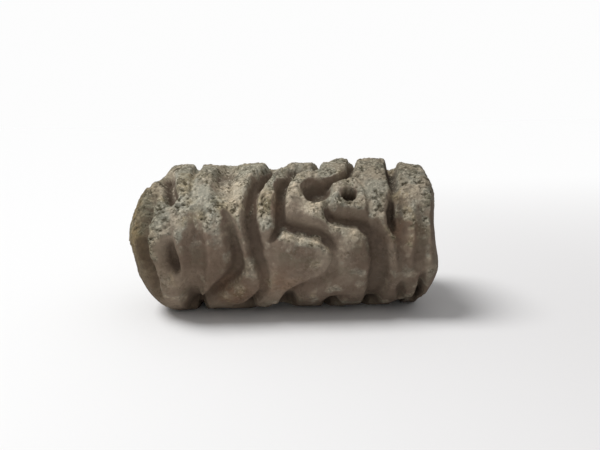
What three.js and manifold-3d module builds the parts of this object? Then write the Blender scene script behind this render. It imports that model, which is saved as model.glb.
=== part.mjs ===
// Cylinder seal: a hand-made roller of fired clay, pierced lengthwise, its skin cut deep with a scroll.
// Millimetres, +Z up. The roller lies along X on a small worn flat, with the origin under its middle.
// It is shaped about its own axis and then laid down. A place on its skin is [along, angle]: millimetres
// along the axis, and degrees round it, 0 at the front (-Y), 90 on top and -90 underneath.
import * as THREE from "three";
import { mergeVertices } from "three/addons/utils/BufferGeometryUtils.js";
import Module from "manifold-3d";

// Driving dimensions of the blank
const RADIUS = 19.2;
const BODY_FROM = -27; // where the left end starts to round off
const BODY_TO = 34.5;
const LEFT_DOME = 12.5; // length that the rounded left end would have with no bore
const RIGHT_DOME = 4;
const BORE_RADIUS = 4;
const FLAT_DEPTH = 0.5; // how much the worn flat takes off the underside
const AXIS_HEIGHT = RADIUS - FLAT_DEPTH;
const MOUTH_TILT = Math.acos(BORE_RADIUS / RADIUS); // how far round its end the skin runs to the bore

// How finely the skin is faceted
const SEGMENTS = 80;
const RING_STEP = 1.4;
const LEFT_RINGS = 9; // rings of the rounded left end
const RIGHT_RINGS = 5;
const CURVE_STEPS = 6; // straight pieces between two points of a cut's path
const SOFTEN = 0.7; // millimetres between the places whose depths are averaged at each corner

// The drilled eye of the scroll
const EYE = { along: 16, angle: 42, radius: 1.8, depth: 5, sides: 12 };

// The pattern fills half a turn and comes round twice.
const TURNS = [0, 180];
const FLOOR_SHARE = 0.3; // flat part of a cut's section, as a share of its half width
const BLEND_POWER = 5; // how tightly cuts that meet run into each other

// Each cut is one stroke of the carver's tool: its full width and depth, and its path over the skin.
// A third number on a path's point is the share of the depth that is cut there. Once: only on the front.
// Lean shifts the deepest line towards the left (+) or right (-) of the stroke's direction.
// Floor is the flat part of that cut's section, where it isn't the usual share.
const CUTS = [
  {
    name: "left rim groove",
    width: 2.5,
    depth: 2.5,
    lean: 0.3,
    path: [
      [-31.2, 60, 0.5], [-31.5, 48, 0.9], [-32, 34], [-33, 22], [-33.3, 9], [-33, -4], [-32.2, -18],
      [-31.8, -32, 0.8], [-31.4, -44, 0.6],
    ],
  },
  {
    name: "upper left chip",
    width: 8,
    depth: 1.6,
    once: true,
    path: [[-33, 104], [-33.4, 88], [-33.6, 74]],
  },
  {
    name: "upper left hollow",
    width: 4.6,
    depth: 4,
    lean: 0.5,
    path: [[-29.2, 78, 0.4], [-28.8, 66], [-28.1, 55], [-27.4, 46], [-27, 40, 0.6]],
  },
  {
    name: "oval pit",
    width: 3.8,
    depth: 3.6,
    lean: 0.35,
    path: [[-27.2, 9, 0.5], [-27, 1, 0.9], [-26.6, -8], [-26.4, -12, 0.8]],
  },
  {
    name: "left groove, upper part",
    width: 2.6,
    depth: 1.5,
    path: [[-22.2, 116, 2], [-21.8, 90], [-21.7, 76, 0.9], [-22.2, 58, 0.5], [-22.3, 44, 0.4]],
  },
  {
    name: "left groove, lower part",
    width: 6,
    depth: 1.7,
    lean: 0.55,
    path: [
      [-21.8, 26, 0.3], [-21.1, 16, 0.7], [-20.8, 6], [-20.8, -6], [-21.8, -20], [-23.2, -33, 1.2],
      [-23.2, -46, 1.7], [-22.4, -64, 2.2],
    ],
  },
  {
    name: "wedge groove",
    width: 4.8,
    depth: 3.4,
    lean: 0.35,
    floor: 0.15,
    path: [
      [-14, 31, 0.15], [-12.7, 17, 0.6], [-12, 5, 0.9], [-11.6, -6], [-12, -15], [-14.2, -24], [-17, -34],
      [-20.4, -49, 0.9],
    ],
  },
  {
    name: "upper left scoop",
    width: 10,
    depth: 2.8,
    lean: -0.6,
    floor: 0.05,
    path: [
      [-13, 100, 0.3], [-12.8, 86, 0.7], [-12.6, 74], [-12.5, 60, 0.9], [-12.2, 50, 0.6], [-12, 44, 0.3],
    ],
  },
  {
    name: "main groove, top facet",
    width: 5,
    depth: 4.2,
    lean: 0.6,
    floor: 0.05,
    path: [
      [-11, 120], [-7.8, 112], [-4.4, 103], [-2.4, 94], [-2, 86], [-2.9, 78], [-4.2, 70], [-5.6, 61, 0.9],
      [-6.9, 48, 0.5],
    ],
  },
  {
    name: "main groove",
    width: 4.2,
    depth: 3.6,
    floor: 0.4,
    path: [
      [-6.4, 60, 0.8], [-7.4, 44], [-7.8, 30], [-7.6, 18], [-6.8, 6], [-6, -6, 0.8], [-5.2, -14, 0.7],
      [-4.8, -24, 0.6], [-5.2, -34, 0.55], [-7, -44, 0.6], [-10, -58, 0.8],
    ],
  },
  {
    name: "hollow by the main groove",
    width: 6,
    depth: 1.6,
    lean: -0.3,
    path: [[-4.6, 8, 0.7], [-4.2, -2], [-4.4, -12, 0.7]],
  },
  {
    name: "island groove",
    width: 3.4,
    depth: 3.8,
    floor: 0.4,
    path: [
      [8.6, 73, 0.6], [4.8, 72, 0.9], [1.9, 66], [0.2, 56], [-0.5, 46], [-0.75, 36], [-0.7, 26],
      [-0.9, 18, 0.9], [-2.6, 10, 0.5], [-3.8, 7, 0.3],
    ],
  },
  {
    name: "island notch",
    width: 7,
    depth: 1.2,
    path: [[-0.8, 116, 1.4], [-0.8, 98], [-0.6, 84], [0.4, 70]],
  },
  {
    name: "hollow behind the hook",
    width: 6,
    depth: 3.2,
    lean: -0.4,
    path: [[0.8, 68, 0.6], [3, 75], [6, 78, 0.9], [8.8, 78, 0.5]],
  },
  {
    name: "hook hollow",
    width: 7.4,
    depth: 4.2,
    floor: 0.5,
    path: [[8, 48], [8.9, 48.5]],
  },
  {
    name: "hook ramp",
    width: 8,
    depth: 1.4,
    path: [[6, 40], [9, 38, 0.8]],
  },
  {
    name: "hook mouth",
    width: 2.8,
    depth: 3.6,
    path: [
      [22.2, 116, 1.2], [19.4, 100, 0.9], [18, 84, 0.8], [17.2, 72, 0.9], [15.8, 63], [13.4, 58, 0.9],
      [11, 55.5, 0.9], [8.6, 51, 0.8],
    ],
  },
  {
    name: "crease right of the eye",
    width: 2.2,
    depth: 1,
    path: [[17, 62, 0.8], [19.4, 54], [20.5, 43, 0.9], [20.7, 32], [20.9, 24]],
  },
  {
    name: "groove below the eye",
    width: 5.6,
    depth: 3.4,
    lean: -0.6,
    floor: 0.05,
    path: [
      [10.4, 42, 0.35], [10.8, 34, 0.5], [12, 27, 0.85], [13.6, 24.5], [15.8, 23], [18.2, 21.5],
      [20.6, 16, 0.9], [22.3, 9, 0.7], [23, 0, 0.5],
    ],
  },
  {
    name: "valley right of the scroll",
    width: 6.4,
    depth: 3.2,
    floor: 0.4,
    path: [
      [21.2, 16, 0.6], [22.2, 6, 0.9], [23, -6], [23.2, -18], [22.7, -34], [22.2, -48, 0.7],
      [22.2, -64, 0.7],
    ],
  },
  {
    name: "scroll inner groove",
    width: 5.6,
    depth: 3.6,
    lean: -0.5,
    floor: 0.1,
    path: [
      [0, 22.2, 0.8], [2.5, 19.2], [4.9, 16.7], [7.4, 15.2], [9.6, 12], [11.4, 6.5, 0.8], [12.6, -1, 0.5],
      [12.8, -10, 0.4], [11, -20, 0.4], [8, -27, 0.45], [5, -32, 0.5], [2.8, -38, 0.7],
    ],
  },
  {
    name: "lower hollow",
    width: 5.4,
    depth: 3,
    path: [[2.2, -33, 0.2], [1.5, -40, 0.5], [0.9, -49, 0.9], [0.6, -59], [0.6, -68, 1.1]],
  },
  {
    name: "scroll foot hollow",
    width: 5.6,
    depth: 2.2,
    path: [[15, -45, 0.2], [12.2, -51, 0.8], [11.8, -64, 1.1]],
  },
  {
    name: "right slot",
    width: 2.6,
    depth: 4.2,
    path: [[26.2, 40, 0.5], [26, 30], [26.1, 20], [26.5, 11, 0.5]],
  },
  {
    name: "right top groove",
    width: 3.8,
    depth: 4.4,
    path: [
      [29.8, 116], [29.5, 100], [28.8, 88], [27.7, 72], [27.3, 58, 0.8], [27.3, 48, 0.5], [26.8, 42, 0.3],
    ],
  },
  {
    name: "right sunk field",
    width: 5,
    depth: 2.4,
    lean: -0.4,
    path: [[28.8, 34, 0.3], [28.8, 24, 0.8], [28.7, 14], [28.5, 4, 0.8], [28.4, -6, 0.5], [28.6, -16, 0.2]],
  },
  {
    name: "right rim field",
    width: 4.6,
    depth: 1.6,
    path: [[33, 30, 0.3], [33.2, 18, 0.8], [33.1, 4], [33, -4], [32.6, -14, 0.6]],
  },
  {
    name: "right rim groove",
    width: 2.2,
    depth: 2.4,
    path: [[33.4, -20, 0.5], [33.5, -30], [33.7, -42, 1.2], [33.8, -56, 1.7], [33.8, -66, 1.8]],
  },
  {
    name: "lower right notch",
    width: 2.6,
    depth: 1.8,
    path: [[28.4, -28, 0.3], [28.8, -37], [29.2, -50, 0.8]],
  },
  {
    name: "top groove between the hooks",
    width: 2.4,
    depth: 2.4,
    path: [[11.8, 116, 1.4], [9.6, 98], [8.7, 82], [8.2, 74, 0.8]],
  },
  {
    name: "crevice",
    width: 2,
    depth: 2,
    once: true,
    path: [[-17.2, 52, 0.4], [-15.4, 47], [-14.2, 44], [-12.4, 46, 0.6]],
  },
  {
    name: "worn spot",
    width: 1.8,
    depth: 1,
    once: true,
    path: [[-2.9, -2, 0.6], [-2.8, -9, 0.8]],
  },
];

// Where the hand-made roller stands out (+) or falls short (-) of a true cylinder, over the given reach.
const SWELLS = [
  { along: 23, angle: 88, reach: 9, height: 1 },
  { along: 15.3, angle: 92, reach: 3.8, height: 1 },
  { along: 11, angle: 92, reach: 3, height: -0.4 },
  { along: 36, angle: 92, reach: 7, height: -2 },
  { along: 38, angle: 48, reach: 9, height: 0.8 },
  { along: -14, angle: 86, reach: 9, height: -0.9 },
  { along: -30, angle: 82, reach: 6, height: -1 },
  { along: -35, angle: 18, reach: 14, height: 0.8 },
  { along: 38.5, angle: -22, reach: 10, height: 1.3 },
  { along: 33, angle: -62, reach: 7, height: -1.2 },
];

const radians = THREE.MathUtils.degToRad;
const smoothstep = THREE.MathUtils.smoothstep;
const arcLength = (degrees) => RADIUS * radians(degrees);
const wrapAngle = (degrees) => THREE.MathUtils.euclideanModulo(degrees + 180, 360) - 180;

// A cut's path as a smooth run of short straight pieces, each point with its share of the depth.
function strokeOf(cut) {
  const places = cut.path.map(([along, angle, share = 1]) => new THREE.Vector3(along, angle, share));
  const curve = new THREE.CatmullRomCurve3(places, false, "centripetal");
  return { ...cut, points: curve.getPoints((places.length - 1) * CURVE_STEPS) };
}

const STROKES = CUTS.map(strokeOf);

// Depth of one stroke at a place on the skin: a flat floor that curves up into walls with a firm edge.
function strokeDepth(stroke, along, angle) {
  let depth = 0;
  for (let i = 0; i + 1 < stroke.points.length; i++) {
    const from = stroke.points[i];
    const to = stroke.points[i + 1];
    const runX = to.x - from.x;
    const runY = arcLength(to.y - from.y);
    const offX = along - from.x;
    const offY = arcLength(wrapAngle(angle - from.y));
    const t = THREE.MathUtils.clamp((offX * runX + offY * runY) / (runX * runX + runY * runY), 0, 1);
    const share = THREE.MathUtils.lerp(from.z, to.z, t);
    const halfWidth = (stroke.width / 2) * Math.min(1, Math.sqrt(share));
    const distance = Math.hypot(offX - t * runX, offY - t * runY);
    if (distance >= halfWidth) continue;
    const side = Math.sign(runX * offY - runY * offX);
    const across = (side * distance) / halfWidth;
    const { lean = 0, floor = FLOOR_SHARE } = stroke;
    const fromFloor = Math.abs(across - lean) / (across > lean ? 1 - lean : 1 + lean);
    const upWall = THREE.MathUtils.clamp((fromFloor - floor) / (1 - floor), 0, 1);
    depth = Math.max(depth, stroke.depth * share * (1 - upWall ** 2 * (2 - upWall)));
  }
  return depth;
}

// Depth of all the carving at a place, where cuts that meet run into each other.
function carvedDepth(along, angle) {
  let sum = 0;
  for (const turn of TURNS)
    for (const stroke of STROKES)
      if (turn === 0 || !stroke.once) sum += strokeDepth(stroke, along, angle - turn) ** BLEND_POWER;
  return sum ** (1 / BLEND_POWER);
}

// The same, averaged over the neighbourhood that one facet corner stands for.
function facetDepth(along, angle) {
  const steps = [-SOFTEN, 0, SOFTEN];
  let sum = 0;
  for (const step of steps)
    for (const turn of steps) sum += carvedDepth(along + step, angle + turn / arcLength(1));
  return sum / steps.length ** 2;
}

function swell(along, angle) {
  return SWELLS.reduce((sum, s) => {
    const distance = Math.hypot(along - s.along, arcLength(wrapAngle(angle - s.angle)));
    return sum + s.height * (1 - smoothstep(distance, 0, s.reach));
  }, 0);
}

// Section of one rounded end, from the body to the bore's mouth.
function domeProfile(start, length, rings) {
  const points = [];
  for (let i = 1; i <= rings; i++) {
    const tilt = (MOUTH_TILT * i) / rings;
    points.push(new THREE.Vector2(RADIUS * Math.cos(tilt), start + length * Math.sin(tilt)));
  }
  return points;
}

// Section of the blank: over the left end, along the body, over the right end and back through the bore.
function blankProfile() {
  const points = domeProfile(BODY_FROM, -LEFT_DOME, LEFT_RINGS).reverse();
  const rings = Math.round((BODY_TO - BODY_FROM) / RING_STEP);
  for (let i = 0; i <= rings; i++)
    points.push(new THREE.Vector2(RADIUS, THREE.MathUtils.lerp(BODY_FROM, BODY_TO, i / rings)));
  points.push(...domeProfile(BODY_TO, RIGHT_DOME, RIGHT_RINGS));
  points.push(points[0].clone());
  return points;
}

// Two triangles for each quad of the skin, split along the diagonal whose middle lies closer to the carving.
function splitQuads(profile, depths) {
  const index = [];
  for (let turn = 0; turn < SEGMENTS; turn++)
    for (let ring = 0; ring + 1 < profile.length; ring++) {
      const a = turn * profile.length + ring;
      const b = a + profile.length;
      const c = b + 1;
      const d = a + 1;
      const along = (profile[ring].y + profile[ring + 1].y) / 2;
      const angle = 90 - (360 * (turn + 0.5)) / SEGMENTS;
      const depth = facetDepth(along, angle);
      const missAC = Math.abs((depths[a] + depths[c]) / 2 - depth);
      const missBD = Math.abs((depths[b] + depths[d]) / 2 - depth);
      if (missAC < missBD) index.push(a, b, c, a, c, d);
      else index.push(a, b, d, c, d, b);
    }
  return index;
}

// The blank along X, with every corner of its skin pushed in by the depth of the carving there.
function carvedRoller() {
  const profile = blankProfile();
  const geometry = new THREE.LatheGeometry(profile, SEGMENTS).rotateZ(-Math.PI / 2);
  const place = geometry.getAttribute("position");
  const normal = geometry.getAttribute("normal");
  const point = new THREE.Vector3();
  const outward = new THREE.Vector3();
  const depths = [];
  for (let i = 0; i < place.count; i++) {
    point.fromBufferAttribute(place, i);
    outward.fromBufferAttribute(normal, i);
    const radius = Math.hypot(point.y, point.z);
    const angle = THREE.MathUtils.radToDeg(Math.atan2(point.z, -point.y));
    const fade = smoothstep(radius, BORE_RADIUS, RADIUS / 2);
    depths.push(fade * facetDepth(point.x, angle));
    point.addScaledVector(outward, fade * swell(point.x, angle) - depths[i]);
    place.setXYZ(i, point.x, point.y, point.z);
  }
  geometry.setIndex(splitQuads(profile, depths));
  return geometry;
}

// The drill that sinks the scroll's eye, pointing at the roller's axis.
function eyeDrill(turn) {
  const angle = radians(EYE.angle + turn);
  const outward = new THREE.Vector3(0, -Math.cos(angle), Math.sin(angle));
  const length = EYE.depth * 2;
  const drill = new THREE.CylinderGeometry(EYE.radius, EYE.radius, length, EYE.sides);
  drill.applyQuaternion(new THREE.Quaternion().setFromUnitVectors(new THREE.Vector3(0, 1, 0), outward));
  const centre = outward.multiplyScalar(RADIUS);
  return drill.translate(EYE.along, centre.y, centre.z);
}

// What the worn flat takes away: everything below the surface that the roller lies on.
function belowTheFlat() {
  const size = 2 * (BODY_TO - BODY_FROM);
  return new THREE.BoxGeometry(size, size, size).translate(0, 0, -AXIS_HEIGHT - size / 2);
}

const wasm = await Module();
wasm.setup();

function solidOf(geometry) {
  const bare = geometry.clone();
  bare.deleteAttribute("normal");
  bare.deleteAttribute("uv");
  const merged = mergeVertices(bare, 1e-3);
  const vertProperties = new Float32Array(merged.getAttribute("position").array);
  const triVerts = new Uint32Array(merged.index.array);
  return new wasm.Manifold(new wasm.Mesh({ numProp: 3, vertProperties, triVerts }));
}

function geometryOf(solid) {
  const mesh = solid.getMesh();
  const geometry = new THREE.BufferGeometry();
  geometry.setAttribute("position", new THREE.BufferAttribute(mesh.vertProperties, 3));
  geometry.setIndex(new THREE.BufferAttribute(mesh.triVerts, 1));
  geometry.computeVertexNormals();
  return geometry;
}

let roller = solidOf(carvedRoller());
for (const turn of TURNS) roller = roller.subtract(solidOf(eyeDrill(turn)));
roller = roller.subtract(solidOf(belowTheFlat()));

const firedClay = new THREE.MeshStandardMaterial({ color: 0x6e6457, roughness: 0.95, metalness: 0 });
const seal = new THREE.Mesh(geometryOf(roller), firedClay);
seal.name = "seal_roller";
const centre = new THREE.Box3().setFromObject(seal).getCenter(new THREE.Vector3());
seal.position.set(-centre.x, -centre.y, AXIS_HEIGHT);

const part = new THREE.Group();
part.add(seal);

export default part;
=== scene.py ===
"""Looks of the cylinder seal: its finely carved skin, fired clay, a pale floor, soft light and the camera.

The roller is shaped in millimetres about its own axis. A place on its skin is (along, angle): millimetres
along the axis, and degrees round it, 0 at the front (-Y), 90 on top and -90 underneath.
"""
import math
from collections import namedtuple

import bpy
import numpy as np
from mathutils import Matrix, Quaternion, Vector, noise


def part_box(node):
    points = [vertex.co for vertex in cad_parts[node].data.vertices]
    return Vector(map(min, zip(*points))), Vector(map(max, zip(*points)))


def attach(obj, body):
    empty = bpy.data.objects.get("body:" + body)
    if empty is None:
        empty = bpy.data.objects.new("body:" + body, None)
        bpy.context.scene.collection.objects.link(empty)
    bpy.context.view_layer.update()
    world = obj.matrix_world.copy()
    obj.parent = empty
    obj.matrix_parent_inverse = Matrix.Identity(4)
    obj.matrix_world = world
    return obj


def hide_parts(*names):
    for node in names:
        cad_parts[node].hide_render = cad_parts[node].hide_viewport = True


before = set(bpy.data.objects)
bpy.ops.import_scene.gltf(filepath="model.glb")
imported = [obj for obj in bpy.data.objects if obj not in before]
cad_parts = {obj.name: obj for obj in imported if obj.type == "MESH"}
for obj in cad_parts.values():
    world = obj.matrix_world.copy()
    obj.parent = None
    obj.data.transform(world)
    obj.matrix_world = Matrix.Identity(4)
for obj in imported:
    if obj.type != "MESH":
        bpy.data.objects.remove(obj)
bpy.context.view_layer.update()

MILLIMETRE = 0.001

# The blank, as in the solid
RADIUS = 19.2
BODY_FROM = -27
BODY_TO = 34.5
LEFT_DOME = 12.5
RIGHT_DOME = 4
BORE_RADIUS = 4
FLAT_DEPTH = 0.5
AXIS_HEIGHT = RADIUS - FLAT_DEPTH
MOUTH_TILT = math.acos(BORE_RADIUS / RADIUS)  # how far round its end the skin runs to the bore

# The carving, as in the solid
EYE = {"along": 16, "angle": 42, "radius": 1.8, "depth": 5}
TURNS = (0, 180)  # the pattern is cut twice round the roller
FLOOR_SHARE = 0.3  # how much of a stroke's half width is flat floor
BLEND_POWER = 5  # how firmly the deeper of two strokes wins where they meet
CURVE_STEPS = 6  # straight pieces between two points of a cut's path

# The eye's wall runs from its floor to its rim, in shares of its radius
EYE_FLOOR = 0.82
EYE_RIM = 1.12

# How finely the skin is meshed: steps in millimetres, and how many rings the bore's wall has
RING_STEP = 0.27
END_STEP = 0.7
BORE_RINGS = 14
# Stretches round the roller: each runs up to an angle, with a step in millimetres
FIRST_ANGLE = -78
COLUMN_STEPS = [(12, 0.36), (104, 0.23), (122, 0.4), (FIRST_ANGLE + 360, 0.52)]


class Cut:
    """One stroke of the carver's tool, with its full width and depth in millimetres.

    A point of the path is (along, angle, share of the depth), and one without a share has the whole depth.
    The lean, from -1 to 1, moves the stroke's floor to one side. A stroke that was made once is left off
    the hidden half.
    """

    def __init__(self, width, depth, path, lean=0.0, floor=FLOOR_SHARE, once=False):
        self.width = width
        self.depth = depth
        self.path = np.array([(*place, 1)[:3] for place in path], float)
        self.lean = lean
        self.floor = floor
        self.once = once


CUTS = {
    "left rim groove": Cut(2.5, 2.5, lean=0.3, path=[
        (-31.2, 60, 0.5), (-31.5, 48, 0.9), (-32, 34), (-33, 22), (-33.3, 9),
        (-33, -4), (-32.2, -18), (-31.8, -32, 0.8), (-31.4, -44, 0.6)]),
    "upper left chip": Cut(8, 1.6, once=True, path=[
        (-33, 104), (-33.4, 88), (-33.6, 74)]),
    "upper left hollow": Cut(4.6, 4, lean=0.5, path=[
        (-29.2, 78, 0.4), (-28.8, 66), (-28.1, 55), (-27.4, 46), (-27, 40, 0.6)]),
    "oval pit": Cut(3.8, 3.6, lean=0.35, path=[
        (-27.2, 9, 0.5), (-27, 1, 0.9), (-26.6, -8), (-26.4, -12, 0.8)]),
    "left groove, upper part": Cut(2.6, 1.5, path=[
        (-22.2, 116, 2), (-21.8, 90), (-21.7, 76, 0.9), (-22.2, 58, 0.5), (-22.3, 44, 0.4)]),
    "left groove, lower part": Cut(6, 1.7, lean=0.55, path=[
        (-21.8, 26, 0.3), (-21.1, 16, 0.7), (-20.8, 6), (-20.8, -6),
        (-21.8, -20), (-23.2, -33, 1.2), (-23.2, -46, 1.7), (-22.4, -64, 2.2)]),
    "wedge groove": Cut(4.8, 3.4, lean=0.35, floor=0.15, path=[
        (-14, 31, 0.15), (-12.7, 17, 0.6), (-12, 5, 0.9), (-11.6, -6),
        (-12, -15), (-14.2, -24), (-17, -34), (-20.4, -49, 0.9)]),
    "upper left scoop": Cut(10, 2.8, lean=-0.6, floor=0.05, path=[
        (-13, 100, 0.3), (-12.8, 86, 0.7), (-12.6, 74), (-12.5, 60, 0.9), (-12.2, 50, 0.6), (-12, 44, 0.3)]),
    "main groove, top facet": Cut(5, 4.2, lean=0.6, floor=0.05, path=[
        (-11, 120), (-7.8, 112), (-4.4, 103), (-2.4, 94), (-2, 86),
        (-2.9, 78), (-4.2, 70), (-5.6, 61, 0.9), (-6.9, 48, 0.5)]),
    "main groove": Cut(4.2, 3.6, floor=0.4, path=[
        (-6.4, 60, 0.8), (-7.4, 44), (-7.8, 30), (-7.6, 18), (-6.8, 6), (-6, -6, 0.8),
        (-5.2, -14, 0.7), (-4.8, -24, 0.6), (-5.2, -34, 0.55), (-7, -44, 0.6), (-10, -58, 0.8)]),
    "hollow by the main groove": Cut(6, 1.6, lean=-0.3, path=[
        (-4.6, 8, 0.7), (-4.2, -2), (-4.4, -12, 0.7)]),
    "island groove": Cut(3.4, 3.8, floor=0.4, path=[
        (8.6, 73, 0.6), (4.8, 72, 0.9), (1.9, 66), (0.2, 56), (-0.5, 46),
        (-0.75, 36), (-0.7, 26), (-0.9, 18, 0.9), (-2.6, 10, 0.5), (-3.8, 7, 0.3)]),
    "island notch": Cut(7, 1.2, path=[
        (-0.8, 116, 1.4), (-0.8, 98), (-0.6, 84), (0.4, 70)]),
    "hollow behind the hook": Cut(6, 3.2, lean=-0.4, path=[
        (0.8, 68, 0.6), (3, 75), (6, 78, 0.9), (8.8, 78, 0.5)]),
    "hook hollow": Cut(7.4, 4.2, floor=0.5, path=[
        (8, 48), (8.9, 48.5)]),
    "hook ramp": Cut(8, 1.4, path=[
        (6, 40), (9, 38, 0.8)]),
    "hook mouth": Cut(2.8, 3.6, path=[
        (22.2, 116, 1.2), (19.4, 100, 0.9), (18, 84, 0.8), (17.2, 72, 0.9),
        (15.8, 63), (13.4, 58, 0.9), (11, 55.5, 0.9), (8.6, 51, 0.8)]),
    "crease right of the eye": Cut(2.2, 1, path=[
        (17, 62, 0.8), (19.4, 54), (20.5, 43, 0.9), (20.7, 32), (20.9, 24)]),
    "groove below the eye": Cut(5.6, 3.4, lean=-0.6, floor=0.05, path=[
        (10.4, 42, 0.35), (10.8, 34, 0.5), (12, 27, 0.85), (13.6, 24.5), (15.8, 23),
        (18.2, 21.5), (20.6, 16, 0.9), (22.3, 9, 0.7), (23, 0, 0.5)]),
    "valley right of the scroll": Cut(6.4, 3.2, floor=0.4, path=[
        (21.2, 16, 0.6), (22.2, 6, 0.9), (23, -6), (23.2, -18),
        (22.7, -34), (22.2, -48, 0.7), (22.2, -64, 0.7)]),
    "scroll inner groove": Cut(5.6, 3.6, lean=-0.5, floor=0.1, path=[
        (0, 22.2, 0.8), (2.5, 19.2), (4.9, 16.7), (7.4, 15.2), (9.6, 12), (11.4, 6.5, 0.8),
        (12.6, -1, 0.5), (12.8, -10, 0.4), (11, -20, 0.4), (8, -27, 0.45), (5, -32, 0.5), (2.8, -38, 0.7)]),
    "lower hollow": Cut(5.4, 3, path=[
        (2.2, -33, 0.2), (1.5, -40, 0.5), (0.9, -49, 0.9), (0.6, -59), (0.6, -68, 1.1)]),
    "scroll foot hollow": Cut(5.6, 2.2, path=[
        (15, -45, 0.2), (12.2, -51, 0.8), (11.8, -64, 1.1)]),
    "right slot": Cut(2.6, 4.2, path=[
        (26.2, 40, 0.5), (26, 30), (26.1, 20), (26.5, 11, 0.5)]),
    "right top groove": Cut(3.8, 4.4, path=[
        (29.8, 116), (29.5, 100), (28.8, 88), (27.7, 72),
        (27.3, 58, 0.8), (27.3, 48, 0.5), (26.8, 42, 0.3)]),
    "right sunk field": Cut(5, 2.4, lean=-0.4, path=[
        (28.8, 34, 0.3), (28.8, 24, 0.8), (28.7, 14), (28.5, 4, 0.8), (28.4, -6, 0.5), (28.6, -16, 0.2)]),
    "right rim field": Cut(4.6, 1.6, path=[
        (33, 30, 0.3), (33.2, 18, 0.8), (33.1, 4), (33, -4), (32.6, -14, 0.6)]),
    "right rim groove": Cut(2.2, 2.4, path=[
        (33.4, -20, 0.5), (33.5, -30), (33.7, -42, 1.2), (33.8, -56, 1.7), (33.8, -66, 1.8)]),
    "lower right notch": Cut(2.6, 1.8, path=[
        (28.4, -28, 0.3), (28.8, -37), (29.2, -50, 0.8)]),
    "top groove between the hooks": Cut(2.4, 2.4, path=[
        (11.8, 116, 1.4), (9.6, 98), (8.7, 82), (8.2, 74, 0.8)]),
    "crevice": Cut(2, 2, once=True, path=[
        (-17.2, 52, 0.4), (-15.4, 47), (-14.2, 44), (-12.4, 46, 0.6)]),
    "worn spot": Cut(1.8, 1, once=True, path=[
        (-2.9, -2, 0.6), (-2.8, -9, 0.8)]),
}

# Where the roller stands out (+) or falls short (-) of a true cylinder: along, angle, reach, height
SWELLS = [
    (23, 88, 9, 1), (15.3, 92, 3.8, 1), (11, 92, 3, -0.4), (36, 92, 7, -2), (38, 48, 9, 0.8),
    (-14, 86, 9, -0.9), (-30, 82, 6, -1), (-35, 18, 14, 0.8), (38.5, -22, 10, 1.3), (33, -62, 7, -1.2)]

# Spots of the finish: along, angle, reach
# Where iron in the clay shows as a warmer brown
RUST_SPOTS = [(28.8, 12, 7), (-12.5, -38, 8), (-1, -28, 8), (-4, 38, 6)]
# Where pale sand has gathered
SANDY_SPOTS = [
    (-12.5, 56, 7), (-10.5, 36, 5), (2.6, 47, 3), (8, 35, 4), (12.4, 17, 3), (16.4, 13, 3),
    (0.6, 11, 2.4), (4, 9, 2.4), (7.4, 7, 2.4)]
# Where the crust has worn away on faces that still look up
BARE_SPOTS = [(3, 32, 5), (-26.4, -16, 4), (-2.6, 8, 3)]

# Noise over the skin: lumps of a size in millimetres, their octaves and height, and a seed of their own
Lumps = namedtuple("Lumps", "size octaves height seed")
WANDER_ALONG = Lumps(size=3, octaves=4, height=0.34, seed=1)
WANDER_ROUND = Lumps(size=3, octaves=4, height=0.34, seed=2)
RAGGED_CRUST = Lumps(size=7, octaves=5, height=0.3, seed=3)
WAVY_CLAY = Lumps(size=9, octaves=2, height=0.25, seed=4)
BUMPY_CLAY = Lumps(size=2.6, octaves=3, height=0.1, seed=5)
CRUST_GRAINS = Lumps(size=1.1, octaves=4, height=1, seed=6)
CRUST_PITS = Lumps(size=0.9, octaves=3, height=1, seed=7)
EDGE_CHIPS = Lumps(size=1.8, octaves=3, height=1, seed=8)
CRUMBLY_CRUST = Lumps(size=6, octaves=3, height=1, seed=9)
FRAYED_CRUST = Lumps(size=1.6, octaves=3, height=0.2, seed=10)
CRUST_PATCHES = Lumps(size=5, octaves=5, height=1, seed=11)
SEED_SHIFT = Vector((17.3, 5.7, 11.9))
OCTAVE_FADING = 1.0
OCTAVE_FINENESS = 2.0

# Ranges over which noise turns from none to all
CRUMBLY_RANGE = (-0.5, 0.2)
PIT_RANGE = (0.15, 0.6)
CHIP_RANGE = (0.1, 0.6)
PATCH_RANGE = (0.1, 0.6)

EYE_WANDER = 0.3  # share of the strokes' wandering that the drilled eye has

# Rounds of averaging over the grid
STROKE_ROUNDS = 1  # for the edges of the strokes
GROUND_ROUNDS = 60  # for the ground that hollows and ridges are told from
FACING_ROUNDS = 3  # for the slopes that say where the skin faces

# Where the skin faces: shares of the carved skin and of the plain blank
CARVED_FACING = 0.7
PLAIN_FACING = 0.3

# Darker brown in the cuts by their depth in millimetres, part a dark stain of the clay and part painted
# shade in the recesses, and painted shade on the right end by how far it faces right, away from the light
STAIN_AND_SHADE_DEPTHS = (1.2, 2.8)
CUT_STAIN_AND_SHADE = 0.85
PAINTED_SHADE_FACING = (0.35, 0.9)
PAINTED_END_SHADE = 0.4
SAND_OVER_STAIN_AND_SHADE = 0.7

# What helps the crust to hold or takes it away, beside 1 for facing straight up
LEFT_RIM = (27, 33)  # millimetres left of the middle
LEFT_RIM_HOLD = 0.4
SANDY_HOLD = 0.5
BARE_LOSS = 0.8
STAIN_AND_SHADE_LOSS = 0.6
# painted shade: the crust is taken off walls facing right, away from the light, so they show the darker clay
PAINTED_SHADE_RIGHTWARD_LOSS = 0.6
HOLD_RANGE = (0.05, 0.4)
PATCH_COVER = 0.5
HOLLOW_FIRMNESS = 0.3  # how much less crumbly the crust is in the hollows

# Relief of the skin in millimetres. A pair is for firm crust, and what crumbly crust adds
GRAIN_HEIGHT = (0.08, 0.2)
PIT_DEPTH = (0.06, 0.26)
CRUST_THICKNESS = 0.15
CRUST_CHIP = 0.5
CLAY_WEAR = 0.1
CLAY_CHIP = 0.15

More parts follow.
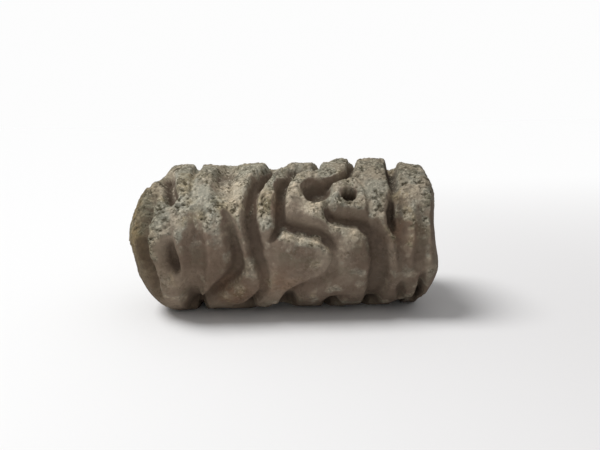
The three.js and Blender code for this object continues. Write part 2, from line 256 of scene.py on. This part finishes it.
# Towards the bore the carving ends, the relief drops to a share of itself and the lip is worn down
CARVING_ENDS = (BORE_RADIUS, RADIUS / 2)
MOUTH_RELIEF = 0.35
OUTER_RELIEF = 0.65  # what is added away from the bore
LIP_WEAR = 0.6
LIP_RANGE = (BORE_RADIUS, 1.4 * BORE_RADIUS)

# Lichen and painted shade on what faces up: the top faces are painted darker
TOP_SHADE_FACING = (0.7, 1)
TOP_SHADE_COVER = 0.4


def smoothstep(value, low, high):
    t = np.clip((value - low) / (high - low), 0, 1)
    return t * t * (3 - 2 * t)


def arc_length(degrees):
    return RADIUS * np.radians(degrees)


def wrap_angle(degrees):
    return (degrees + 180) % 360 - 180


def skin_distance(off_along, off_angle):
    return np.hypot(off_along, arc_length(wrap_angle(off_angle)))


def smooth_path(path):
    """A centripetal curve through the path's points, as short straight pieces."""
    points = np.vstack([2 * path[0] - path[1], path, 2 * path[-1] - path[-2]])
    t = (np.arange(CURVE_STEPS) / CURVE_STEPS)[:, None]
    pieces = []
    for p0, p1, p2, p3 in zip(points, points[1:], points[2:], points[3:]):
        k0, k1, k2 = (math.sqrt(np.linalg.norm(b - a)) for a, b in ((p0, p1), (p1, p2), (p2, p3)))
        start = k1 * ((p1 - p0) / k0 - (p2 - p0) / (k0 + k1) + (p2 - p1) / k1)
        end = k1 * ((p2 - p1) / k1 - (p3 - p1) / (k1 + k2) + (p3 - p2) / k2)
        bend = 3 * (p2 - p1) - 2 * start - end
        twist = 2 * (p1 - p2) + start + end
        pieces.append(p1 + start * t + bend * t**2 + twist * t**3)
    return np.vstack([*pieces, path[-1:]])


def stroke_depth(cut, along, angle):
    """Depth of one stroke over the skin: a flat floor that curves up into walls with a firm edge."""
    depth = np.zeros_like(along)
    points = smooth_path(cut.path)
    for (x0, a0, s0), (x1, a1, s1) in zip(points, points[1:]):
        near = np.abs(along - (x0 + x1) / 2) < cut.width + abs(x1 - x0)
        off_x = along[near] - x0
        off_y = arc_length(wrap_angle(angle[near] - a0))
        run_x = x1 - x0
        run_y = arc_length(a1 - a0)
        t = np.clip((off_x * run_x + off_y * run_y) / (run_x**2 + run_y**2), 0, 1)
        share = s0 + (s1 - s0) * t
        half_width = cut.width / 2 * np.minimum(1, np.sqrt(share))
        distance = np.hypot(off_x - t * run_x, off_y - t * run_y)
        across = np.sign(run_x * off_y - run_y * off_x) * distance / half_width
        wall = np.where(across > cut.lean, 1 - cut.lean, 1 + cut.lean)
        up_wall = np.clip((np.abs(across - cut.lean) / wall - cut.floor) / (1 - cut.floor), 0, 1)
        section = 1 - up_wall**2 * (2 - up_wall)
        found = np.where(distance < half_width, cut.depth * share * section, 0)
        depth[near] = np.maximum(depth[near], found)
    return depth


def carved_depth(along, angle):
    """Depth of all strokes together, on each turn of the pattern."""
    total = np.zeros_like(along)
    for turn in TURNS:
        for cut in CUTS.values():
            if turn == 0 or not cut.once:
                total += stroke_depth(cut, along, angle - turn) ** BLEND_POWER
    return total ** (1 / BLEND_POWER)


def eye_depth(along, angle):
    """Depth of the drilled eye, on each turn of the pattern."""
    deepest = np.zeros_like(along)
    for turn in TURNS:
        off = skin_distance(along - EYE["along"], angle - EYE["angle"] - turn)
        wall = smoothstep(off, EYE_FLOOR * EYE["radius"], EYE_RIM * EYE["radius"])
        deepest = np.maximum(deepest, EYE["depth"] * (1 - wall))
    return deepest


class Blank:
    """The uncarved skin, as a grid of rings by columns."""

    def __init__(self):
        rings = skin_rings()
        angles = skin_angles()
        self.ring_places = rings[:, 0]
        self.column_places = arc_length(angles)
        self.along = np.repeat(rings[:, :1], len(angles), 1)
        self.angle = np.repeat(angles[None], len(rings), 0)
        self.radius, self.lean_x, self.lean_r = (rings[:, i, None] for i in (1, 2, 3))
        outward = np.stack([-np.cos(np.radians(self.angle)), np.sin(np.radians(self.angle))], -1)
        self.points = np.concatenate([self.along[..., None], self.radius[..., None] * outward], -1)
        normal_x = np.broadcast_to(self.lean_x, self.along.shape)[..., None]
        self.normal = np.concatenate([normal_x, self.lean_r[..., None] * outward], -1)

    def nearness(self, along, angle, reach):
        """1 at a place on the skin, falling to 0 at its reach."""
        return 1 - smoothstep(skin_distance(self.along - along, self.angle - angle), 0, reach)

    def swell(self):
        total = np.zeros_like(self.along)
        for *spot, height in SWELLS:
            total += height * self.nearness(*spot)
        return total

    def spotted(self, spots):
        """How much each place lies in one of these spots."""
        total = np.zeros_like(self.along)
        for spot in spots:
            total += self.nearness(*spot)
        return np.minimum(total, 1)

    def lumps(self, kind):
        """Smooth noise, from about -1 to 1 times its height."""
        shift = SEED_SHIFT * kind.seed
        places = (Vector(p) / kind.size + shift for p in self.points.reshape(-1, 3))
        values = [noise.fractal(p, OCTAVE_FADING, OCTAVE_FINENESS, kind.octaves) for p in places]
        return kind.height * np.array(values).reshape(self.along.shape)


def dome_rings(start, length, side):
    """Rings of one rounded end, from the body to the bore's mouth."""
    count = round(math.hypot(RADIUS - BORE_RADIUS, length) / END_STEP)
    rings = []
    for i in range(1, count + 1):
        tilt = MOUTH_TILT * i / count
        along = start + side * length * math.sin(tilt)
        slope = Vector((math.sin(tilt) / length, math.cos(tilt) / RADIUS)).normalized()
        rings.append((along, RADIUS * math.cos(tilt), side * slope.x, slope.y))
    return rings


def skin_rings():
    """The blank's rings from mouth to mouth: along, radius, and the outward normal's two parts."""
    left = dome_rings(BODY_FROM, LEFT_DOME, -1)
    right = dome_rings(BODY_TO, RIGHT_DOME, 1)
    steps = round((BODY_TO - BODY_FROM) / RING_STEP)
    body = [(BODY_FROM + (BODY_TO - BODY_FROM) * i / steps, RADIUS, 0, 1) for i in range(steps + 1)]
    return np.array([*left[::-1], *body, *right])


def skin_angles():
    """Angles of the columns, closest together on the crusted upper front."""
    angles = []
    start = FIRST_ANGLE
    for end, step in COLUMN_STEPS:
        count = round(arc_length(end - start) / step)
        angles.append(np.linspace(start, end, count, endpoint=False))
        start = end
    return np.concatenate(angles)


def soften(field, rounds):
    """Neighbours averaged over the grid. The last axis runs round the roller and closes."""
    for _ in range(rounds):
        field = (2 * field + np.roll(field, 1, 1) + np.roll(field, -1, 1)) / 4
        ends = np.pad(field, ((1, 1), (0, 0)), "edge")
        field = (2 * field + ends[:-2] + ends[2:]) / 4
    return field


def cut_depths(blank):
    """How deep each place is cut, and how far the strokes sink it below the ground around it."""
    wander = blank.lumps(WANDER_ALONG)
    drift = blank.lumps(WANDER_ROUND)
    strokes = carved_depth(blank.along + wander, blank.angle + drift / arc_length(1))
    strokes = soften(strokes, STROKE_ROUNDS)
    eyes = eye_depth(blank.along + EYE_WANDER * wander, blank.angle + EYE_WANDER * drift / arc_length(1))
    return np.maximum(strokes, eyes), strokes - soften(strokes, GROUND_ROUNDS)


def skin_facing(blank, depth):
    """How much each place of the carved skin faces up, and how much its slope faces right."""
    softened = soften(depth, FACING_ROUNDS)
    slope_along, slope_round = np.gradient(softened, blank.ring_places, blank.column_places)
    turn = np.radians(blank.angle)
    carved = CARVED_FACING * blank.lean_r * np.sin(turn + np.arctan(slope_round))
    upward = carved + PLAIN_FACING * np.sin(turn)
    return upward, np.sin(np.arctan(np.maximum(slope_along, 0)))


def stain_and_painted_shade(blank, depth, sandy):
    # part stain, part painted shade: the deeper a cut, the darker it is painted
    cut_stain_and_shade = CUT_STAIN_AND_SHADE * smoothstep(depth, *STAIN_AND_SHADE_DEPTHS)
    # painted shade: the right end is painted darker the more it faces right, away from the light
    painted_end_shade = PAINTED_END_SHADE * smoothstep(blank.lean_x, *PAINTED_SHADE_FACING)
    return np.clip(cut_stain_and_shade + painted_end_shade, 0, 1) * (1 - SAND_OVER_STAIN_AND_SHADE * sandy)


def crust_cover(blank, upward, rightward, sandy, stain_and_shade):
    """Pale sandy crust with a ragged edge on what faces up, and single patches of it lower down. It is taken
    off the stained and shaded cuts and, as painted shade, off walls facing right.
    """
    left_rim = smoothstep(-blank.along, *LEFT_RIM)
    bare = blank.spotted(BARE_SPOTS)
    hold = upward + LEFT_RIM_HOLD * left_rim + SANDY_HOLD * sandy
    hold = hold - BARE_LOSS * bare - STAIN_AND_SHADE_LOSS * stain_and_shade - PAINTED_SHADE_RIGHTWARD_LOSS * rightward
    hold = hold + blank.lumps(RAGGED_CRUST) + blank.lumps(FRAYED_CRUST)
    patches = smoothstep(blank.lumps(CRUST_PATCHES) - STAIN_AND_SHADE_LOSS * stain_and_shade, *PATCH_RANGE)
    return np.maximum(smoothstep(hold, *HOLD_RANGE), PATCH_COVER * patches)


def skin_relief(blank, hollow, crust, crumbly, pits):
    """Crumbly crust and the smoother worn clay beside it, both chipped along the ridges."""
    def by_crumbliness(firm, added):
        return firm + added * crumbly

    rough = blank.lumps(WAVY_CLAY) + blank.lumps(BUMPY_CLAY)
    chips = np.clip(-hollow, 0, 1) * smoothstep(blank.lumps(EDGE_CHIPS), *CHIP_RANGE)
    crumbs = by_crumbliness(*GRAIN_HEIGHT) * blank.lumps(CRUST_GRAINS) - by_crumbliness(*PIT_DEPTH) * pits
    on_crust = CRUST_THICKNESS + crumbs - CRUST_CHIP * chips
    off_clay = CLAY_WEAR + CLAY_CHIP * chips
    return rough + crust * on_crust - (1 - crust) * off_clay


def carved_skin():
    """Points of the carved skin and what its finish depends on, each as a grid of rings by columns."""
    blank = Blank()
    depth, hollow = cut_depths(blank)
    upward, rightward = skin_facing(blank, depth)
    sandy = blank.spotted(SANDY_SPOTS)
    stain_and_shade = stain_and_painted_shade(blank, depth, sandy)
    crust = crust_cover(blank, upward, rightward, sandy, stain_and_shade)
    crumbly = smoothstep(blank.lumps(CRUMBLY_CRUST) - HOLLOW_FIRMNESS * hollow, *CRUMBLY_RANGE)
    pits = smoothstep(blank.lumps(CRUST_PITS), *PIT_RANGE)
    relief = skin_relief(blank, hollow, crust, crumbly, pits)

    carved = smoothstep(blank.radius, *CARVING_ENDS)
    lip = LIP_WEAR * (1 - smoothstep(blank.radius, *LIP_RANGE))
    rise = carved * (blank.swell() - depth) + (MOUTH_RELIEF + OUTER_RELIEF * carved) * relief - lip
    finish = {
        "crust": crust,
        "stain_and_shade": stain_and_shade,
        "pits": pits,
        "crumbly": crumbly,
        "rust": blank.spotted(RUST_SPOTS),
        "lichen_and_top_shade": TOP_SHADE_COVER * smoothstep(upward, *TOP_SHADE_FACING),
        "sandy": sandy,
    }
    return blank.points + rise[..., None] * blank.normal, finish


def bore_wall(first, last):
    """Rings of the bore from the last ring of the skin back to its first."""
    shares = np.linspace(0, 1, BORE_RINGS + 2)[1:-1, None, None]
    return last + (first - last) * shares


def roller_mesh():
    """The skin and the bore's wall as one closed mesh, laid down where the solid lies."""
    skin, finish = carved_skin()
    points = np.concatenate([skin, bore_wall(skin[0], skin[-1])])
    low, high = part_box("seal_roller")
    points = points * MILLIMETRE
    centre = (points.min((0, 1)) + points.max((0, 1))) / 2
    shift_x = (low.x + high.x) / 2 - centre[0]
    shift_y = (low.y + high.y) / 2 - centre[1]
    points = points + (shift_x, shift_y, AXIS_HEIGHT * MILLIMETRE)
    points[..., 2] = np.maximum(points[..., 2], low.z)

    rings, columns = points.shape[:2]
    index = np.arange(rings * columns).reshape(rings, columns)
    after = np.roll(index, -1, 0)
    quads = np.stack([index, np.roll(index, -1, 1), np.roll(after, -1, 1), after], -1).reshape(-1, 4)
    mesh = bpy.data.meshes.new("seal_roller_carved")
    mesh.from_pydata(points.reshape(-1, 3).tolist(), [], quads.tolist())
    mesh.polygons.foreach_set("use_smooth", [True] * len(mesh.polygons))
    for name, field in finish.items():
        whole = np.concatenate([field, np.zeros((BORE_RINGS, columns))])
        attribute = mesh.attributes.new(name, "FLOAT", "POINT")
        attribute.data.foreach_set("value", whole.astype(np.float32).ravel())
    mesh.update()
    return mesh


# Mottling: noise with lumps of a size in metres, turned over a range into a share from the least to the most
Mottle = namedtuple("Mottle", "size low high detail roughness least most", defaults=(3.0, 0.55, 0.0, 1.0))


class Nodes:
    """Short calls for building one material's node tree."""

    def __init__(self, name):
        self.material = bpy.data.materials.new(name)
        self.material.use_nodes = True
        self.tree = self.material.node_tree
        self.shader = self.tree.nodes["Principled BSDF"]
        self.place = self.make("ShaderNodeTexCoord").outputs["Object"]

    def make(self, kind, **settings):
        node = self.tree.nodes.new(kind)
        for key, value in settings.items():
            setattr(node, key, value)
        return node

    def put(self, socket, value):
        if isinstance(value, bpy.types.NodeSocket):
            self.tree.links.new(value, socket)
        else:
            socket.default_value = value

    def attribute(self, name):
        return self.make("ShaderNodeAttribute", attribute_name=name).outputs["Fac"]

    def axes(self):
        """The place's X, Y and Z."""
        parts = self.make("ShaderNodeSeparateXYZ")
        self.put(parts.inputs[0], self.place)
        return parts.outputs

    def noise(self, size, detail, roughness):
        """Noise from 0 to 1 with lumps of about that size in metres."""
        node = self.make("ShaderNodeTexNoise")
        self.put(node.inputs["Vector"], self.place)
        self.put(node.inputs["Scale"], 1 / size)
        self.put(node.inputs["Detail"], detail)
        self.put(node.inputs["Roughness"], roughness)
        return node.outputs["Fac"]

    def mottle(self, kind):
        lumps = self.noise(kind.size, kind.detail, kind.roughness)
        return self.ramp(lumps, kind.low, kind.high, kind.least, kind.most)

    def grains(self, size):
        """A value from 0 to 1 for each grain, with grains of about that size in metres."""
        node = self.make("ShaderNodeTexVoronoi")
        self.put(node.inputs["Vector"], self.place)
        self.put(node.inputs["Scale"], 1 / size)
        parts = self.make("ShaderNodeSeparateColor")
        self.put(parts.inputs["Color"], node.outputs["Color"])
        return parts.outputs["Red"]

    def ramp(self, value, low, high, to_low=0.0, to_high=1.0):
        node = self.make("ShaderNodeMapRange", interpolation_type="SMOOTHSTEP")
        for socket, given in zip(node.inputs, (value, low, high, to_low, to_high)):
            self.put(socket, given)
        return node.outputs["Result"]

    def fall(self, value, low, high):
        """1 up to the low value, falling to 0 at the high one."""
        return self.ramp(value, low, high, 1.0, 0.0)

    def math(self, operation, *values):
        node = self.make("ShaderNodeMath", operation=operation)
        for socket, value in zip(node.inputs, values):
            self.put(socket, value)
        return node.outputs["Value"]

    def times(self, a, b):
        return self.math("MULTIPLY", a, b)

    def mix(self, share, a, b, blend="MIX"):
        node = self.make("ShaderNodeMix", data_type="RGBA", blend_type=blend)
        sockets = {s.identifier: s for s in node.inputs}
        self.put(sockets["Factor_Float"], share)
        self.put(sockets["A_Color"], a)
        self.put(sockets["B_Color"], b)
        results = {s.identifier: s for s in node.outputs}
        return results["Result_Color"]


def screen_colour(red, green, blue):
    """A colour given in screen values from 0 to 255, as linear light."""
    values = [v / 255 for v in (red, green, blue)]
    return [v / 12.92 if v <= 0.04045 else ((v + 0.055) / 1.055) ** 2.4 for v in values] + [1.0]


# Colours of the clay and the crust
WORN_BROWN = screen_colour(144, 130, 114)
DARK_BROWN = screen_colour(118, 102, 88)
OLIVE_BROWN = screen_colour(120, 112, 95)
RUST_BROWN = screen_colour(128, 99, 78)
# brown of the cuts' stain and of the painted shade in them and on the right end
STAIN_AND_SHADE_BROWN = screen_colour(98, 84, 72)
CRUST_TAN = screen_colour(186, 174, 154)
CRUST_GREY = screen_colour(174, 170, 154)
GATHERED_SAND = screen_colour(218, 202, 176)
OCHRE = screen_colour(168, 147, 106)
# lichen colour, also used as painted shade on the top faces
LICHEN_AND_TOP_SHADE = screen_colour(116, 110, 88)
DARK_GRAIN = screen_colour(80, 72, 54)
PALE_GRAIN = screen_colour(224, 214, 192)

# Mottling of the clay and the crust
RUST_MOTTLE = Mottle(size=0.003, low=0.3, high=0.6, detail=4.0, least=0.2, most=0.8)
DARK_MOTTLE = Mottle(size=0.011, low=0.35, high=0.65)
OLIVE_MOTTLE = Mottle(size=0.005, low=0.5, high=0.68, detail=5.0, roughness=0.6, most=0.6)
GREY_MOTTLE = Mottle(size=0.006, low=0.42, high=0.58)
OCHRE_MOTTLE = Mottle(size=0.008, low=0.54, high=0.68, most=0.5)
LICHEN_MOTTLE = Mottle(size=0.0035, low=0.48, high=0.62, detail=5.0, roughness=0.65)
SPRINKLED_SAND = Mottle(size=0.007, low=0.42, high=0.62, detail=4.0, least=0.15, most=0.45)
FINE_CREVICES = Mottle(size=0.003, low=0.5, high=0.58, detail=5.0, roughness=0.7)
DULLNESS = Mottle(size=0.004, low=0.3, high=0.7, least=0.82, most=0.95)

# How strongly each part of the finish shows
LICHEN_SHOWS = 0.7
SAND_SHOWS = 0.7
STAIN_AND_SHADE_SHOWS = 0.75
RUST_SHOWS = 0.75  # on bare clay, and not at all under the crust
PIT_GRIT_AND_SHADE_SHOW = 0.85

# Grains of sand, in metres, and how much of them crust and crumbly crust show
TONE_GRAIN = 0.0008
TONE_RANGE = (0.66, 1.28)
CRUST_SAND = 0.4
CRUMBLY_SAND = 0.45
SINGLE_GRAIN = 0.00045
DARK_GRAINS = (0.3, 0.5, 0.9, 0.0)  # a grain's value from, to, and how strongly it shows at each
PALE_GRAINS = (0.82, 0.92, 0.0, 0.5)

# Colour laid over the clay along the roller and up it, from and to in metres: painted shade towards the
# right where the light falls off, darker clay low on the left, and a darker tone at the left end
# painted shade towards the right, where the light falls off
PAINTED_FALLOFF_RIGHT = screen_colour(222, 220, 218)
PAINTED_FALLOFF_ALONG = (-0.004, 0.03)
LOW_SHADE = screen_colour(234, 230, 226)
LOW_SHADE_ALONG = (-0.012, 0.0)
LOW_SHADE_HEIGHT = (0.014, 0.026)
LEFT_SHADE = screen_colour(186, 180, 164)
LEFT_SHADE_ALONG = (-0.036, -0.026)

CLAY_SHINE = 0.25
BUMP_STRENGTH = 1.0
BUMP_DEPTH = 0.0006
BUMP_NOISE = {"size": 0.0006, "detail": 4.0, "roughness": 0.7}
CLAY_BUMP = 0.35  # share of the crust's bumps that bare clay has


def clay_colour(n, crust, crumbly):
    """Mottled clay and crust with lichen, gathered sand, stained cuts and rust, and painted shade in the
    cuts, on the right end and on the top faces.
    """
    rust = n.times(n.attribute("rust"), n.mottle(RUST_MOTTLE))
    body = n.mix(n.mottle(DARK_MOTTLE), WORN_BROWN, DARK_BROWN)
    body = n.mix(n.mottle(OLIVE_MOTTLE), body, OLIVE_BROWN)
    sandy = n.mix(n.mottle(GREY_MOTTLE), CRUST_TAN, CRUST_GREY)
    sandy = n.mix(n.math("MAXIMUM", n.mottle(OCHRE_MOTTLE), rust), sandy, OCHRE)
    lichen_and_top_shade = n.times(n.times(n.mottle(LICHEN_MOTTLE), crumbly), LICHEN_SHOWS)
    # painted shade: the top faces are painted darker with the lichen colour, partly real lichen
    sandy = n.mix(n.math("MAXIMUM", lichen_and_top_shade, n.attribute("lichen_and_top_shade")), sandy, LICHEN_AND_TOP_SHADE)
    sandy = n.mix(n.times(n.attribute("sandy"), SAND_SHOWS), sandy, GATHERED_SAND)
    colour = n.mix(crust, body, sandy)
    # darker brown in the cuts, part stain and part painted shade, and painted shade on the right end
    colour = n.mix(n.times(n.attribute("stain_and_shade"), STAIN_AND_SHADE_SHOWS), colour, STAIN_AND_SHADE_BROWN)
    return n.mix(n.times(rust, n.ramp(crust, 0.0, 1.0, RUST_SHOWS, 0.0)), colour, RUST_BROWN)


def sand_grains(n, colour, crust, crumbly):
    """Grains of sand over a colour, most of them where the crust is crumbly, and dark pits, part grit and
    part painted shade in these small hollows.
    """
    crusty = n.math("MULTIPLY_ADD", crumbly, CRUMBLY_SAND, n.times(crust, CRUST_SAND))
    grainy = n.math("MAXIMUM", n.mottle(SPRINKLED_SAND), crusty)
    tone = n.ramp(n.grains(TONE_GRAIN), 0.0, 1.0, *TONE_RANGE)
    colour = n.mix(grainy, colour, tone, "MULTIPLY")
    single = n.grains(SINGLE_GRAIN)
    crevices = n.times(n.mottle(FINE_CREVICES), grainy)
    colour = n.mix(n.times(n.ramp(single, *DARK_GRAINS), crevices), colour, DARK_GRAIN)
    colour = n.mix(n.times(n.ramp(single, *PALE_GRAINS), crust), colour, PALE_GRAIN)
    # part grit, part painted shade: the crust's pits are painted dark
    pits = n.times(n.attribute("pits"), crumbly)
    return n.mix(n.times(pits, PIT_GRIT_AND_SHADE_SHOW), colour, DARK_GRAIN)


def clay_shading(n, colour):
    """Painted shade on the clay towards the right, where the light falls off; darker clay low on the left,
    and a darker tone at the left end.
    """
    axes = n.axes()
    # painted shade: the clay is painted darker towards the right, as the light falls off there
    colour = n.mix(n.ramp(axes["X"], *PAINTED_FALLOFF_ALONG), colour, PAINTED_FALLOFF_RIGHT, "MULTIPLY")
    low_left = n.times(n.fall(axes["X"], *LOW_SHADE_ALONG), n.fall(axes["Z"], *LOW_SHADE_HEIGHT))
    colour = n.mix(low_left, colour, LOW_SHADE, "MULTIPLY")
    return n.mix(n.fall(axes["X"], *LEFT_SHADE_ALONG), colour, LEFT_SHADE, "MULTIPLY")


def clay_material():
    n = Nodes("fired_clay")
    crust = n.attribute("crust")
    crumbly = n.times(n.attribute("crumbly"), crust)
    colour = clay_colour(n, crust, crumbly)
    colour = sand_grains(n, colour, crust, crumbly)
    n.put(n.shader.inputs["Base Color"], clay_shading(n, colour))
    n.put(n.shader.inputs["Roughness"], n.mottle(DULLNESS))
    n.put(n.shader.inputs["Specular IOR Level"], CLAY_SHINE)
    bump = n.make("ShaderNodeBump")
    n.put(bump.inputs["Strength"], BUMP_STRENGTH)
    n.put(bump.inputs["Distance"], BUMP_DEPTH)
    height = n.times(n.noise(**BUMP_NOISE), n.ramp(crust, 0.0, 1.0, CLAY_BUMP, 1.0))
    n.put(bump.inputs["Height"], height)
    n.put(n.shader.inputs["Normal"], bump.outputs["Normal"])
    return n.material


def add_object(name, data):
    thing = bpy.data.objects.new(name, data)
    bpy.context.scene.collection.objects.link(thing)
    return thing


def add_roller():
    roller = add_object("seal_roller_carved", roller_mesh())
    roller.data.materials.append(clay_material())
    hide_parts("seal_roller")
    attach(roller, "root")


# The floor in metres. It is painted darker to the right, a painted fall-off of the light, and as pale as the
# background far away
FLOOR_SIZE = 6.0
FLOOR_LEFT = (0.88, 0.88, 0.88, 1)
FLOOR_RIGHT_PAINTED_SHADE = (0.68, 0.67, 0.67, 1)
FLOOR_FAR = (0.876, 0.876, 0.876, 1)
PAINTED_FALLOFF_LEFT_TO_RIGHT = (-0.08, 0.11)
NEAR_TO_FAR = (-0.06, 0.3)
FLOOR_DULLNESS = 0.9
FLOOR_SHINE = 0.1


def floor_material():
    n = Nodes("pale_floor")
    axes = n.axes()
    # painted shade: the floor is painted darker towards the right, where the light falls off
    colour = n.mix(n.ramp(axes["X"], *PAINTED_FALLOFF_LEFT_TO_RIGHT), FLOOR_LEFT, FLOOR_RIGHT_PAINTED_SHADE)
    colour = n.mix(n.ramp(axes["Y"], *NEAR_TO_FAR), colour, FLOOR_FAR)
    n.put(n.shader.inputs["Base Color"], colour)
    n.put(n.shader.inputs["Roughness"], FLOOR_DULLNESS)
    n.put(n.shader.inputs["Specular IOR Level"], FLOOR_SHINE)
    return n.material


def add_floor():
    half = FLOOR_SIZE / 2
    corners = [(-half, -half, 0), (half, -half, 0), (half, half, 0), (-half, half, 0)]
    mesh = bpy.data.meshes.new("floor")
    mesh.from_pydata(corners, [], [(0, 1, 2, 3)])
    floor = add_object("floor", mesh)
    floor.data.materials.append(floor_material())


# A broad window high on the left, in a white room
WINDOW_STRENGTH = 2.55
WINDOW_BREADTH = 30
WINDOW_DIRECTION = Vector((0.5, -0.02, -0.86))
WHITE = (1, 1, 1, 1)
ROOM_STRENGTH = 0.44
SEEN_STRENGTH = 0.98  # of the room where the camera sees it


def add_window():
    lamp = bpy.data.lights.new("window", "SUN")
    lamp.energy = WINDOW_STRENGTH
    lamp.angle = math.radians(WINDOW_BREADTH)
    light = add_object("window", lamp)
    light.rotation_euler = WINDOW_DIRECTION.to_track_quat("-Z", "Y").to_euler()


def add_room():
    world = bpy.data.worlds.new("soft_room")
    world.use_nodes = True
    tree = world.node_tree
    room = tree.nodes["Background"]
    room.inputs["Color"].default_value = WHITE
    room.inputs["Strength"].default_value = ROOM_STRENGTH
    seen = tree.nodes.new("ShaderNodeBackground")
    seen.inputs["Color"].default_value = WHITE
    seen.inputs["Strength"].default_value = SEEN_STRENGTH
    path = tree.nodes.new("ShaderNodeLightPath")
    either = tree.nodes.new("ShaderNodeMixShader")
    tree.links.new(path.outputs["Is Camera Ray"], either.inputs[0])
    tree.links.new(room.outputs[0], either.inputs[1])
    tree.links.new(seen.outputs[0], either.inputs[2])
    tree.links.new(either.outputs[0], tree.nodes["World Output"].inputs["Surface"])
    bpy.context.scene.world = world


# The photograph's frame in pixels, and where the middle of the roller falls in it
FRAME_WIDTH, FRAME_HEIGHT = 600, 450
AIM_PIXEL = (283.5, 234.0)
# The camera's angles in degrees, its film in millimetres and its places in metres
VIEW_ANGLE = 56.0
CAMERA_RISE = 12.0
CAMERA_ROLL = 1.3
FILM_WIDTH = 36
CAMERA_DISTANCE = 0.152
NEAREST_SEEN = 0.01
AIM_POINT = Vector((0, 0, 0.019))


def add_camera():
    lens = bpy.data.cameras.new("camera")
    lens.sensor_width = FILM_WIDTH
    lens.angle = math.radians(VIEW_ANGLE)
    lens.clip_start = NEAREST_SEEN
    camera = add_object("camera", lens)
    rise = math.radians(CAMERA_RISE)
    back = Vector((0, -math.cos(rise), math.sin(rise)))
    camera.location = AIM_POINT + CAMERA_DISTANCE * back
    focal = FRAME_WIDTH / 2 / math.tan(math.radians(VIEW_ANGLE) / 2)
    to_aim = Vector((AIM_PIXEL[0] - FRAME_WIDTH / 2, FRAME_HEIGHT / 2 - AIM_PIXEL[1], -focal))
    ahead = Vector((0, 0, -1))
    roll = Quaternion((0, 0, 1), math.radians(-CAMERA_ROLL))
    camera.rotation_mode = "QUATERNION"
    camera.rotation_quaternion = (-back).to_track_quat("-Z", "Y") @ roll @ to_aim.rotation_difference(ahead)
    bpy.context.scene.camera = camera
    bpy.context.scene.view_settings.view_transform = "Standard"


add_roller()
add_floor()
add_window()
add_room()
add_camera()
